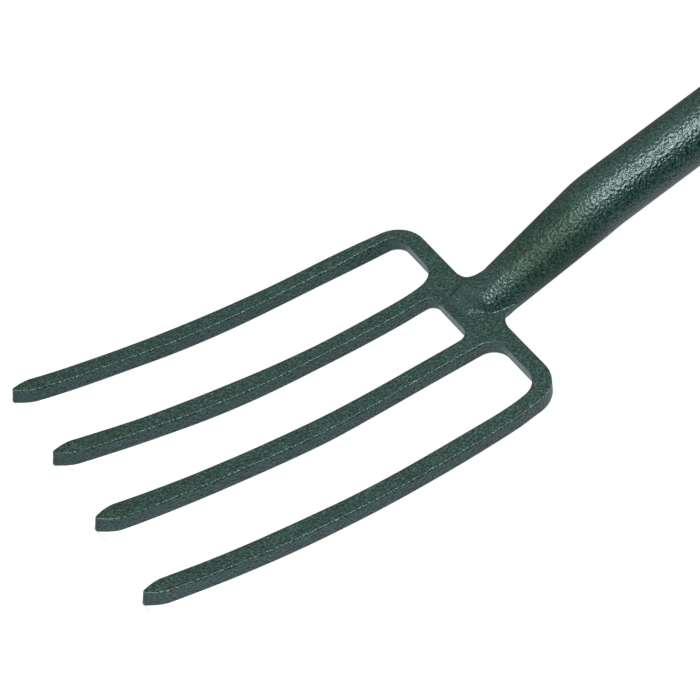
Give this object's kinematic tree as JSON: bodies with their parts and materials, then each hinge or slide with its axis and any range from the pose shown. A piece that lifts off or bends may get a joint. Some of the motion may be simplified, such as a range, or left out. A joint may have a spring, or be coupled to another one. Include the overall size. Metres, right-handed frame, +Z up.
{
  "type": "lawn and garden fork",
  "caption": "Upright steel fork with solid square tines bowed to the front, bent tube socket and a split wooden shaft with a turned crosspiece grip.",
  "frame": {"origin": "on the ground plane that the tine points stand on, under the middle of the outline", "axes": "+Z up the straight shaft towards the grip, -Y towards the front, the side the tines bow to, X across the tines"},
  "size_m": [0.1938, 0.1074, 1.018],
  "materials": {
    "hammer_paint": "dark green hammer-finish paint, mottled, semi-gloss",
    "ash_wood": "turned and lightly varnished ash",
    "wedge_wood": "plain hardwood",
    "bright_steel": "plain steel, slightly worn"
  },
  "bodies": {
    "root": {"tine_head": "hammer_paint", "socket": "hammer_paint", "neck_weld": "hammer_paint", "socket_rivets": "hammer_paint", "shaft": "ash_wood", "grip": "ash_wood", "crotch_wedge": "wedge_wood", "crotch_rivet": "bright_steel", "crotch_washers": "bright_steel", "grip_rivet": "bright_steel", "grip_washers": "bright_steel"}
  },
  "joints": []
}
